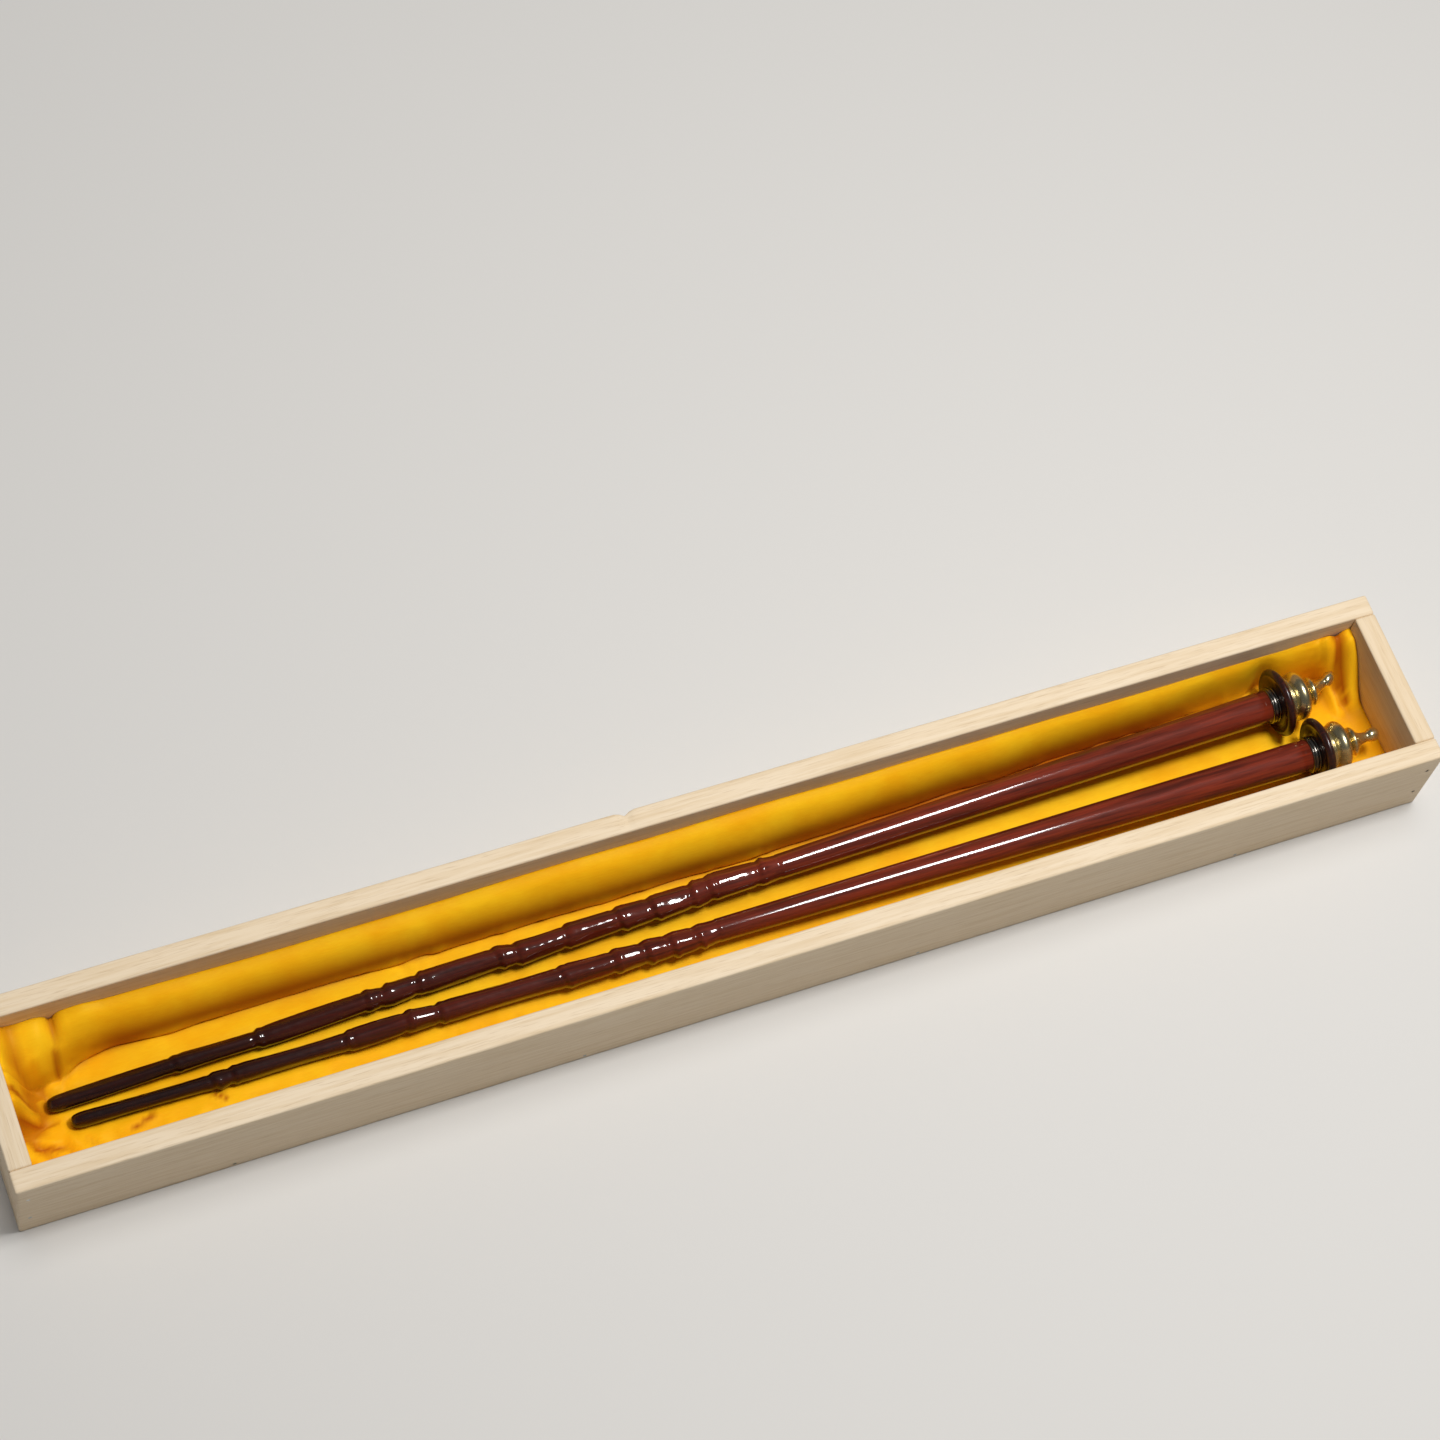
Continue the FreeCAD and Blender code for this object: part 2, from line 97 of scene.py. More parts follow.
def smoothStep(low, high, x):
    t = min(max((x - low) / (high - low), 0.0), 1.0)
    return t * t * (3 - 2 * t)


def mix(a, b, t):
    return a + (b - a) * t


def bell(away, spread):
    # 1 in the middle, falling off evenly to both sides
    return math.exp(-(away / spread) ** 2)


def dressNode(node, material):
    # gives a kept CAD node its finish
    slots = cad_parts[node].data.materials
    slots.clear()
    slots.append(material)


# ---- materials

def makePaleWood(name, alongX=True):
    # Paulownia, planed and left bare: straight fine grain, soft pale rings, a dry, faintly silky surface.
    wood = {"pale": "F0DCBE", "ring": "DBBF95", "pore": "B08F66", "ringMm": 1.3, "poreMm": 0.28,
            "cloudsPerMetre": 14.0}
    material, tree, shader = newMaterial(name, {"IOR": 1.48})
    spot = addNode(tree, "ShaderNodeTexCoord").outputs["Object"]
    # the pattern is squeezed along the grain, so that its blotches become streaks
    stretch = (0.04, 1.0, 1.0) if alongX else (1.0, 0.04, 1.0)
    place = addNode(tree, "ShaderNodeMapping", {"Scale": stretch}, {"Vector": spot}).outputs[0]
    rings = addNode(tree, "ShaderNodeTexNoise", {"Scale": 1 / (wood["ringMm"] * mm), "Detail": 3.0,
                    "Roughness": 0.55}, {"Vector": place}).outputs[0]
    pores = addNode(tree, "ShaderNodeTexNoise", {"Scale": 1 / (wood["poreMm"] * mm), "Detail": 2.0},
                    {"Vector": place}).outputs[0]
    shade = addNode(tree, "ShaderNodeTexNoise", {"Scale": wood["cloudsPerMetre"], "Detail": 2.0},
                    {"Vector": place}).outputs[0]
    ringPart = addNode(tree, "ShaderNodeMapRange", {"From Min": 0.42, "From Max": 0.7, "To Max": 0.6},
                       {"Value": rings}).outputs[0]
    porePart = addNode(tree, "ShaderNodeMapRange", {"From Min": 0.56, "From Max": 0.74, "To Max": 0.4},
                       {"Value": pores}).outputs[0]
    shadePart = addNode(tree, "ShaderNodeMapRange", {"From Min": 0.35, "From Max": 0.7, "To Max": 0.35},
                        {"Value": shade}).outputs[0]
    ringed = addNode(tree, "ShaderNodeMix", {"data_type": "RGBA", 6: toLinear(wood["pale"]),
                     7: toLinear(wood["ring"])}, {0: ringPart}).outputs[2]
    pored = addNode(tree, "ShaderNodeMix", {"data_type": "RGBA", 7: toLinear(wood["pore"])},
                    {0: porePart, 6: ringed}).outputs[2]
    shaded = addNode(tree, "ShaderNodeMix", {"data_type": "RGBA", 7: toLinear(wood["ring"])},
                     {0: shadePart, 6: pored}).outputs[2]
    tree.links.new(shaded, shader.inputs["Base Color"])
    rough = addNode(tree, "ShaderNodeMapRange", {"To Min": 0.5, "To Max": 0.72}, {"Value": rings}).outputs[0]
    tree.links.new(rough, shader.inputs["Roughness"])
    bump = addNode(tree, "ShaderNodeBump", {"Strength": 0.35, "Distance": 0.12 * mm}, {"Height": pores})
    tree.links.new(bump.outputs[0], shader.inputs["Normal"])
    return material


def makeRosewood():
    # Rosewood, carved and lacquered: dark streaks under a deep clear gloss, with painted shade that darkens
    # it towards the tip.
    # tip is a painted shade colour for the thin end, not the wood's own
    wood = {"red": "7E2C18", "dark": "4E1B10", "tip": "080303", "streakMm": 0.7, "figureMm": 2.6}
    material, tree, shader = newMaterial("rosewoodLacquered", {
        "Roughness": 0.5, "IOR": 1.5, "Specular IOR Level": 0.1, "Coat Weight": 1.0, "Coat Roughness": 0.07,
        "Coat IOR": 1.5})
    spot = addNode(tree, "ShaderNodeTexCoord").outputs["Object"]
    place = addNode(tree, "ShaderNodeMapping", {"Scale": (0.05, 1.0, 1.0)}, {"Vector": spot}).outputs[0]
    streaks = addNode(tree, "ShaderNodeTexNoise", {"Scale": 1 / (wood["streakMm"] * mm), "Detail": 4.0,
                      "Roughness": 0.6}, {"Vector": place}).outputs[0]
    figure = addNode(tree, "ShaderNodeTexNoise", {"Scale": 1 / (wood["figureMm"] * mm), "Detail": 2.0},
                     {"Vector": place}).outputs[0]
    both = addNode(tree, "ShaderNodeMath", {"operation": "ADD"}, {0: streaks, 1: figure}).outputs[0]
    share = addNode(tree, "ShaderNodeMapRange", {"From Min": 0.8, "From Max": 1.25},
                    {"Value": both}).outputs[0]
    grained = addNode(tree, "ShaderNodeMix", {"data_type": "RGBA", 6: toLinear(wood["red"]),
                      7: toLinear(wood["dark"])}, {0: share}).outputs[2]
    along = addNode(tree, "ShaderNodeSeparateXYZ", {}, {"Vector": spot}).outputs[0]
    # painted shade: the colour goes to near black over the thin half, towards the tip, where the light falls
    # off
    tipShade = addNode(tree, "ShaderNodeMapRange", {"From Min": 0.06, "From Max": -0.17, "To Max": 0.9},
                    {"Value": along}).outputs[0]
    tipShaded = addNode(tree, "ShaderNodeMix", {"data_type": "RGBA", 7: toLinear(wood["tip"])},
                      {0: tipShade, 6: grained}).outputs[2]
    tree.links.new(tipShaded, shader.inputs["Base Color"])
    bump = addNode(tree, "ShaderNodeBump", {"Strength": 0.15, "Distance": 0.05 * mm}, {"Height": streaks})
    tree.links.new(bump.outputs[0], shader.inputs["Normal"])
    return material


def makeTurnedMetal(name, look):
    # Metal turned on a lathe and polished: faint cutter rings under the shine, and a slight cloudy tarnish.
    # The real rings are closer than 0.1 mm, too fine to show, so they are drawn ringMm apart.
    material, tree, shader = newMaterial(name, {"Metallic": 1.0})
    spot = addNode(tree, "ShaderNodeTexCoord").outputs["Object"]
    closeness = 2 * math.pi / (look["ringMm"] * mm) / 20  # at scale 1 the bands are 2 pi / 20 apart
    rings = addNode(tree, "ShaderNodeTexWave", {
        "wave_type": "BANDS", "bands_direction": "X", "Scale": closeness, "Distortion": 0.4, "Detail": 1.0},
        {"Vector": spot})
    cloud = addNode(tree, "ShaderNodeTexNoise", {"Scale": 1 / (look["cloudMm"] * mm), "Detail": 3.0},
                    {"Vector": spot}).outputs[0]
    share = addNode(tree, "ShaderNodeMapRange", {"From Min": 0.45, "From Max": 0.75, "To Max": 0.7},
                    {"Value": cloud}).outputs[0]
    colour = addNode(tree, "ShaderNodeMix", {"data_type": "RGBA", 6: toLinear(look["bright"]),
                     7: toLinear(look["dull"])}, {0: share}).outputs[2]
    tree.links.new(colour, shader.inputs["Base Color"])
    rough = addNode(tree, "ShaderNodeMapRange", {
        "To Min": look["roughness"] * 0.7, "To Max": look["roughness"] * 1.8}, {"Value": cloud}).outputs[0]
    tree.links.new(rough, shader.inputs["Roughness"])
    bump = addNode(tree, "ShaderNodeBump", {"Strength": 0.12, "Distance": 0.02 * mm},
                   {"Height": rings.outputs[1]})
    tree.links.new(bump.outputs[0], shader.inputs["Normal"])
    return material


def makeEbony():
    # Ebony, turned and oiled: near black with a brown cast where the grain opens, and a soft polish.
    wood = {"black": "220E0A", "brown": "4A1A10", "streakMm": 0.6}
    material, tree, shader = newMaterial("ebonyTurned", {
        "Roughness": 0.32, "IOR": 1.5, "Coat Weight": 0.45, "Coat Roughness": 0.15})
    spot = addNode(tree, "ShaderNodeTexCoord").outputs["Object"]
    place = addNode(tree, "ShaderNodeMapping", {"Scale": (0.1, 1.0, 1.0)}, {"Vector": spot}).outputs[0]
    streaks = addNode(tree, "ShaderNodeTexNoise", {"Scale": 1 / (wood["streakMm"] * mm), "Detail": 3.0},
                      {"Vector": place}).outputs[0]
    share = addNode(tree, "ShaderNodeMapRange", {"From Min": 0.45, "From Max": 0.7},
                    {"Value": streaks}).outputs[0]
    colour = addNode(tree, "ShaderNodeMix", {"data_type": "RGBA", 6: toLinear(wood["black"]),
                     7: toLinear(wood["brown"])}, {0: share}).outputs[2]
    tree.links.new(colour, shader.inputs["Base Color"])
    bump = addNode(tree, "ShaderNodeBump", {"Strength": 0.15, "Distance": 0.03 * mm}, {"Height": streaks})
    tree.links.new(bump.outputs[0], shader.inputs["Normal"])
    return material


def makeSatin():
    # Acetate satin, woven: long floats give it a soft-edged gloss, and painted shade deepens its colour in
    # folds, creases and under the roll's overhang.
    # The real floats are about 0.1 mm apart, too fine to show, so they are drawn at 0.35 mm.
    cloth = {"lit": "FCC21A", "deep": "F6AE10", "fold": "A84A08", "threadMm": 0.35, "cloudMm": 18.0}
    material, tree, shader = newMaterial("satinWoven", {
        "Roughness": 0.45, "IOR": 1.4, "Specular IOR Level": 0.35, "Specular Tint": toLinear("FFD680"),
        "Sheen Weight": 0.08, "Sheen Roughness": 0.35, "Sheen Tint": toLinear("FFC84A")})
    spot = addNode(tree, "ShaderNodeTexCoord").outputs["Object"]
    cloud = addNode(tree, "ShaderNodeTexNoise", {"Scale": 1 / (cloth["cloudMm"] * mm), "Detail": 3.0},
                    {"Vector": spot}).outputs[0]
    stretch = addNode(tree, "ShaderNodeMapping", {"Scale": (0.12, 1.0, 1.0)}, {"Vector": spot}).outputs[0]
    threads = addNode(tree, "ShaderNodeTexNoise", {"Scale": 1 / (cloth["threadMm"] * mm), "Detail": 2.0},
                      {"Vector": stretch}).outputs[0]
    mixed = addNode(tree, "ShaderNodeMath", {"operation": "MULTIPLY_ADD", 1: 0.35},
                    {0: threads, 2: cloud}).outputs[0]
    share = addNode(tree, "ShaderNodeMapRange", {"From Min": 0.5, "From Max": 0.85},
                    {"Value": mixed}).outputs[0]
    colour = addNode(tree, "ShaderNodeMix", {"data_type": "RGBA", 6: toLinear(cloth["lit"]),
                     7: toLinear(cloth["deep"])}, {0: share}).outputs[2]
    # painted shade: the colour turns towards the dark fold colour in folds, creases and under the roll's
    # overhang
    hollow = addNode(tree, "ShaderNodeAttribute", {"attribute_name": "hollow"}).outputs["Fac"]
    folded = addNode(tree, "ShaderNodeMix", {"data_type": "RGBA", 7: toLinear(cloth["fold"])},
                     {0: hollow, 6: colour}).outputs[2]
    tree.links.new(folded, shader.inputs["Base Color"])
    bump = addNode(tree, "ShaderNodeBump", {"Strength": 0.25, "Distance": 0.06 * mm}, {"Height": threads})
    tree.links.new(bump.outputs[0], shader.inputs["Normal"])
    return material


def makeWadding():
    # Cotton wadding, carded: matt off-white fibre in soft clumps.
    fibre = {"white": "E9E4D6", "shade": "CFC7B2", "clumpMm": 3.0}
    material, tree, shader = newMaterial("waddingCarded", {"Roughness": 0.95, "Sheen Weight": 0.2})
    spot = addNode(tree, "ShaderNodeTexCoord").outputs["Object"]
    clumps = addNode(tree, "ShaderNodeTexNoise", {"Scale": 1 / (fibre["clumpMm"] * mm), "Detail": 5.0},
                     {"Vector": spot}).outputs[0]
    colour = addNode(tree, "ShaderNodeMix", {"data_type": "RGBA", 6: toLinear(fibre["white"]),
                     7: toLinear(fibre["shade"])}, {0: clumps}).outputs[2]
    tree.links.new(colour, shader.inputs["Base Color"])
    bump = addNode(tree, "ShaderNodeBump", {"Strength": 0.6, "Distance": 0.5 * mm}, {"Height": clumps})
    tree.links.new(bump.outputs[0], shader.inputs["Normal"])
    return material


paleWood = makePaleWood("paulowniaPlaned")
paleWoodAcross = makePaleWood("paulowniaPlanedAcross", alongX=False)
rosewood = makeRosewood()
ebony = makeEbony()
satin = makeSatin()
wadding = makeWadding()
brass = makeTurnedMetal("brassTurned", {
    "bright": "F0E2B4", "dull": "B49A5C", "roughness": 0.21, "ringMm": 2.2, "cloudMm": 3.0})
# painted shade: the collar's colours are kept dark, standing in for the dark surroundings that polished
# nickel mirrors
nickelPaintedDark = makeTurnedMetal("nickelTurned", {
    "bright": "8E8880", "dull": "4C4641", "roughness": 0.18, "ringMm": 2.2, "cloudMm": 2.5})
steel = makeTurnedMetal("steelDrawn", {
    "bright": "B9B9B6", "dull": "8A8782", "roughness": 0.3, "ringMm": 2.2, "cloudMm": 2.0})
print("materials made")


# ---- the case: four boards round a base panel

boardLook = {
    "arris": 0.7, "step": 1.6, "unevenness": 0.06,  # mm
    "waves": (40, 40, 60),  # how closely the unevenness follows itself along x, y and z
    "edgeMm": 1.5,  # what counts as the outer top edge, where the chip is
}
chip = {"x": -24.0, "length": 3.0, "depth": 1.0}  # mm, where the rear board's edge has lost a sliver


def makeBoard(label, node, grain):
    low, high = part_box(node)
    size, middle = high - low, (low + high) / 2
    bm = bmesh.new()
    bmesh.ops.create_cube(bm, size=1.0)
    bmesh.ops.scale(bm, verts=bm.verts, vec=size)
    bmesh.ops.translate(bm, verts=bm.verts, vec=middle)
    long = 0 if size.x > size.y else 1
    edges = [e for e in bm.edges if abs((e.verts[0].co - e.verts[1].co)[long]) > 0.9 * size[long]]
    bmesh.ops.subdivide_edges(bm, edges=edges, cuts=int(size[long] / (boardLook["step"] * mm)),
                              use_grid_fill=True)
    corners = [e for e in bm.edges if e.is_manifold and e.calc_face_angle() > 1.0]
    bmesh.ops.bevel(bm, geom=corners, offset=boardLook["arris"] * mm, offset_type="OFFSET", segments=3,
                    profile=0.5, affect="EDGES", material=-1)
    # hand-planed boards are never quite straight
    for v in bm.verts:
        wave = noise.noise_vector(v.co * Vector(boardLook["waves"]))
        v.co += wave * boardLook["unevenness"] * mm
        inward = max(high.z - v.co.z, high.y - v.co.y)
        if node == "rear_side_board" and inward < boardLook["edgeMm"] * mm:
            lost = chip["depth"] * bell(v.co.x / mm - chip["x"], chip["length"] / 2)
            v.co += Vector((0, -lost, -lost)) * mm
        v.co.z = min(max(v.co.z, low.z), high.z)
        v.co.y = min(max(v.co.y, low.y), high.y)
        v.co.x = min(max(v.co.x, low.x), high.x)
    piece = meshPiece(label, bm, "root", grain)
    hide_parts(node)


makeBoard("rearSideBoard", "rear_side_board", paleWood)
makeBoard("frontSideBoard", "front_side_board", paleWood)
makeBoard("rightEndBoard", "right_end_board", paleWoodAcross)
makeBoard("leftEndBoard", "left_end_board", paleWoodAcross)
dressNode("base_panel", paleWood)
dressNode("corner_brads", steel)
dressNode("base_brads", steel)
dressNode("floor_wadding", wadding)
print("case made")


# ---- the sticks

stick = {
    "shaftMm": 404.0, "buttR": 5.3, "waistR": 3.9, "thinR": 2.8, "tipR": 1.9,  # radii in mm
    "waistShare": 0.43, "thinShare": 0.80,  # where those radii are, as shares of the shaft from the flange
    "collarMm": 2.7, "collarR": 5.9, "flangeMm": 3.0,
    "dish": 0.1, "ridge": 0.36, "groove": 0.22, "facet": 0.2, "wander": 0.5, "flare": 0.62,  # carving, mm
    "fullness": 0.3,  # mm added to the carved half's radius
    "grain": 0.05, "lean": 0.7,  # mm: how rough the wood is left, and how far a ring leans
    "ridgeMm": 0.95, "grooveMm": 0.7, "grooveAt": 1.7,  # how wide those are, and how far past a ring
    "leadMm": 6.0, "tipFadeMm": 3.0,  # the carving comes in before the first ring, and goes out at the tip
    "deepMm": 14.0, "flareFullMm": 10.0,  # shorter stretches than these are carved less
    "seed": {"rear": 3, "front": 5},
    "around": 56, "fineMm": 0.45, "coarseMm": 6.0,  # faces round a shaft, and their lengths along it
    "tipRoundMm": 1.2,
}
knots = {  # where the carved rings stand, as shares of the shaft's length from the flange
    "rear": [0.439, 0.479, 0.494, 0.526, 0.553, 0.596, 0.636, 0.651, 0.713, 0.740, 0.755, 0.838, 0.902],
    "front": [0.515, 0.537, 0.557, 0.582, 0.622, 0.719, 0.744, 0.789, 0.878, 0.891],
}


def stickFrame(side):
    # the axis runs from the tip's middle to the flange's middle; 0 is the flange's face on the shaft's side
    low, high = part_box(f"{side}_flange")
    flange = (low + high) / 2
    points = [v.co.copy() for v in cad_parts[f"{side}_shaft"].data.vertices]
    first = min(p.x for p in points)
    atTip = [p for p in points if p.x < first + 0.2 * mm]
    tip = sum(atTip, Vector()) / len(atTip)
    along = (flange - tip).normalized()
    start = flange - along * stick["flangeMm"] / 2 * mm
    turn = Vector((0, 0, 1)).rotation_difference(along).to_matrix().to_4x4()
    return Matrix.Translation(start) @ turn


def taperRadius(share):
    if share < stick["waistShare"]:
        return mix(stick["buttR"], stick["waistR"], share / stick["waistShare"])
    if share < stick["thinShare"]:
        t = (share - stick["waistShare"]) / (stick["thinShare"] - stick["waistShare"])
        return mix(stick["waistR"], stick["thinR"], t)
    return mix(stick["thinR"], stick["tipR"], (share - stick["thinShare"]) / (1 - stick["thinShare"]))


def spinOutline(outline, around, closed=True):
    # outline is (distance from the axis, place along it) in mm, spun a full turn about Z
    bm = bmesh.new()
    verts = [bm.verts.new((r * mm, 0, s * mm)) for r, s in outline]
    pairs = list(zip(verts, verts[1:])) + ([(verts[-1], verts[0])] if closed else [])
    edges = [bm.edges.new(p) for p in pairs]
    bmesh.ops.spin(bm, geom=verts + edges, cent=(0, 0, 0), axis=(0, 0, 1), dvec=(0, 0, 0), angle=2 * math.pi,
                   steps=around, use_merge=True, use_duplicate=False)
    bmesh.ops.remove_doubles(bm, verts=bm.verts, dist=0.002 * mm)
    bmesh.ops.recalc_face_normals(bm, faces=bm.faces)
    return bm


def arcTo(start, end, bulge, steps=8):
    # points after start along an arc whose middle stands bulge to the right of the way
    (r0, s0), (r1, s1) = start, end
    chord = math.hypot(r1 - r0, s1 - s0)
    normal = ((s1 - s0) / chord, -(r1 - r0) / chord)
    points = []
    for i in range(1, steps + 1):
        t = i / steps
        lift = bulge * 4 * t * (1 - t)
        points.append((r0 + (r1 - r0) * t + normal[0] * lift, s0 + (s1 - s0) * t + normal[1] * lift))
    return points


def carve(bm, side):
    # the thin half is cut like bamboo root: raised rings, dished stretches between them, and a slight zigzag
    length = stick["shaftMm"]
    rings = [k * length for k in knots[side]]
    ends = [rings[0] - stick["leadMm"]] + rings + [length]
    dice = random.Random(stick["seed"][side])
    phase = [dice.uniform(0, 2 * math.pi) for _ in ends]
    shift = [Vector((math.cos(p), math.sin(p))) * stick["wander"] * dice.uniform(0.4, 1.0) for p in phase]
    shift[0] = shift[-1] = Vector((0, 0))
    for v in bm.verts:
        s = -v.co.z / mm
        radius = math.hypot(v.co.x, v.co.y) / mm
        if s < ends[0] or radius < 0.5:
            continue
        angle = math.atan2(v.co.y, v.co.x)
        i = max(k for k in range(len(ends)) if ends[k] <= s + 1e-6)
        j = min(i + 1, len(ends) - 1)
        span = max(ends[j] - ends[i], 1e-3)
        t = (s - ends[i]) / span
        swell = math.sin(math.pi * t)
        deep = min(span / stick["deepMm"], 1.0)
        change = stick["fullness"] * smoothStep(ends[0], ends[0] + 10, s) - stick["dish"] * deep * swell
        flare = (t - 0.5) * smoothStep(0, 0.12, t) * smoothStep(1, 0.88, t)  # each stretch widens to the tip
        change += stick["flare"] * flare * min(span / stick["flareFullMm"], 1.0)
        change += stick["facet"] * swell * math.cos(2 * angle + phase[i]) * deep
        change += 0.5 * stick["facet"] * swell * math.cos(5 * angle + 3 * phase[i]) * deep
        for k, ring in enumerate(rings):
            lean = stick["lean"] * math.cos(angle + phase[k])
            d = s - ring - lean
            if abs(d) < 5:
                strength = 0.7 + 0.3 * math.cos(angle - phase[k])
                change += stick["ridge"] * strength * bell(d, stick["ridgeMm"])
                change -= stick["groove"] * bell(d - stick["grooveAt"], stick["grooveMm"])
        change += stick["grain"] * noise.noise(Vector((s * 0.5, math.cos(angle) * 2, math.sin(angle) * 2)))
        fade = 1 - smoothStep(length - stick["tipFadeMm"], length, s)
        scale = (radius + change * fade) / radius
        offset = shift[i].lerp(shift[j], t)
        v.co.x = v.co.x * scale + offset.x * mm * fade
        v.co.y = v.co.y * scale + offset.y * mm * fade


def makeShaft(side, place):
    length, seat = stick["shaftMm"], stick["collarR"] - 0.9
    carveFrom = knots[side][0] * length - 8
    s = length - stick["tipRoundMm"]
    outline = [(0, -length)] + arcTo((0.9, -length), (stick["tipR"], -s), 0.2, 4)
    while s > carveFrom:
        s -= stick["fineMm"]
        outline.append((taperRadius(s / length), -s))
    while s > stick["collarMm"] + stick["coarseMm"]:
        s -= stick["coarseMm"]
        outline.append((taperRadius(s / length), -s))
    outline += [(stick["buttR"], -stick["collarMm"]), (seat, -stick["collarMm"]), (seat, 0), (0, 0)]
    bm = spinOutline(outline, stick["around"], closed=False)
    carve(bm, side)
    bmesh.ops.transform(bm, matrix=place, verts=bm.verts)
    piece = meshPiece(f"{side}Shaft", bm, f"{side}_stick", rosewood)
    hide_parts(f"{side}_shaft")


spireLean = {"rear": 3.2, "front": 0.6, "fromMm": 12.0, "growth": 1.3}  # mm at the ball, and how it comes in


def makeFittings(side, place):
    bore, foot, neck, ball = 1.55, 6.0, 3.0, 2.2  # radii, and the outlines below are (radius, place), in mm
    seat = stick["collarR"] - 0.88
    low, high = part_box(f"{side}_flange")
    rim = (high.z - low.z) / mm / 2 - 1.15  # where the flange's rounded edge starts
    outlines = {
        "Collar": ("collar", "white_metal", nickelPaintedDark, [
            (seat, -2.7), (5.6, -2.7), *arcTo((5.6, -2.7), (5.6, -1.9), 0.3, 6),
            *arcTo((5.6, -1.9), (5.7, -0.7), 0.2, 6), (5.55, -0.6),
            *arcTo((5.55, -0.6), (5.6, 0.0), 0.25, 5), (seat, 0.0)]),
        "Flange": ("flange", "dark_flange", ebony, [
            (bore, 0.0), (6.4, 0.0), *arcTo((6.4, 0.0), (rim - 0.4, 0.0), -0.35, 8), (rim, 0.12),
            *arcTo((rim, 0.12), (rim, 2.88), 1.1, 12), (rim - 0.4, 3.0), (bore, 3.0)]),
        "SteppedWasher": ("stepped_washer", "brass", brass, [
            (bore, 3.0), (8.6, 3.0), *arcTo((8.6, 3.0), (8.6, 3.75), 0.4, 8),
            *arcTo((7.9, 3.78), (7.9, 4.4), 0.35, 8), *arcTo((7.2, 4.42), (7.2, 5.0), 0.3, 8), (bore, 5.0)]),
        "Bulb": ("bulb", "brass", brass, [
            (bore, 5.0), (foot - 0.4, 5.0), *arcTo((foot - 0.4, 5.0), (foot + 0.5, 5.5), 0.1, 3),
            *arcTo((foot + 0.5, 5.5), (5.2, 11.0), 2.35, 22), (4.4, 11.15), (neck, 11.2), (bore, 11.2)]),
        "Spire": ("spire", "brass", brass, [
            (0, 14.9), (bore, 14.9), (bore, 11.2), (neck, 11.2), (neck, 11.7),
            *arcTo((neck, 11.7), (neck + 0.2, 14.6), 1.75, 16), (2.9, 14.75),
            *arcTo((2.9, 14.75), (1.6, 18.7), -0.3, 10), *arcTo((1.6, 18.7), (ball, 20.9), 0.25, 6),
            *arcTo((ball, 20.9), (0.0, 23.0), 0.75, 10)]),
    }
    for name, (node, slot, material, outline) in outlines.items():
        bm = spinOutline(outline, 72, closed=True)
        if name == "Spire":
            for v in bm.verts:
                # a knocked spire leans a little towards the rear wall, more and more to its ball
                share = max(v.co.z / mm - spireLean["fromMm"], 0) ** spireLean["growth"] / 22.6
                v.co += place.to_3x3().inverted() @ Vector((0, spireLean[side] * mm, 0)) * share
        bmesh.ops.transform(bm, matrix=place, verts=bm.verts)
        piece = meshPiece(f"{side}{name}", bm, f"{side}_stick", material)
        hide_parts(f"{side}_{node}")
        edge = piece.modifiers.new("edges", "EDGE_SPLIT")
        edge.split_angle = math.radians(40)
    dressNode(f"{side}_stud", steel)


places = {side: stickFrame(side) for side in ("rear", "front")}
for side, place in places.items():
    makeShaft(side, place)
    makeFittings(side, place)
print("sticks made")


# ---- the lining

lining = {
    "step": 1.25, "rows": 58,  # mm along the case, and rows across it
    "frontRise": 9.0, "rollWidth": 7.9, "rollHeight": 17.3,  # mm
    "clear": 0.35,  # mm kept between the satin and a stick
    "slack": 0.014,  # how much longer the cloth is than the way it covers
    "frames": 24, "soften": 2,  # frames of settling, and rounds of smoothing after it
    "thickness": 0.3, "lift": 0.3, "padInside": 0.5,  # mm: the cloth, its start, and its padding's depth
    "belly": 2.5, "bellyHeight": 6.5,  # mm the roll hangs out over its foot, and how high up
    "tuckEnd": 0.12, "floorEnd": 0.58,  # shares of the way across where the front tuck and the floor end
    "tuckLean": 1.6,  # mm the front tuck stands off its wall at the foot
}
# the roll's width along the case: what it comes to, between which two places, all in mm
rollWidths = {
    "left": (15.5, -190, -216),  # at the tips the cloth runs out across the corner
    "right": (4.6, -10, -8),  # narrows from 10 mm left of the middle to 8 mm left of the rear flange
    "behind": (5.0, 3, 12), "end": (9.0, 17, 29),  # these places count from the rear flange
}
notch = {"width": 2.4, "place": 1.5, "spread": 5.0}  # mm from the rear flange, which presses the roll in
# its height right of the rear flange, then a long sag and two bumps, each as rise, place and spread
rollHeights = {"end": (18.6, 4, 22), "swells": [(-2.2, -125, 55), (1.2, -196, 5), (1.0, -210.5, 3)]}
unevenRoll = {"width": 0.5, "height": 0.7, "closeWidth": 0.045, "closeHeight": 0.03}  # mm, and per mm
topPinch = {"x": -204.8, "spread": 1.6, "out": 1.5, "down": 3.8}  # mm, a pleat tucked in at the roll's top
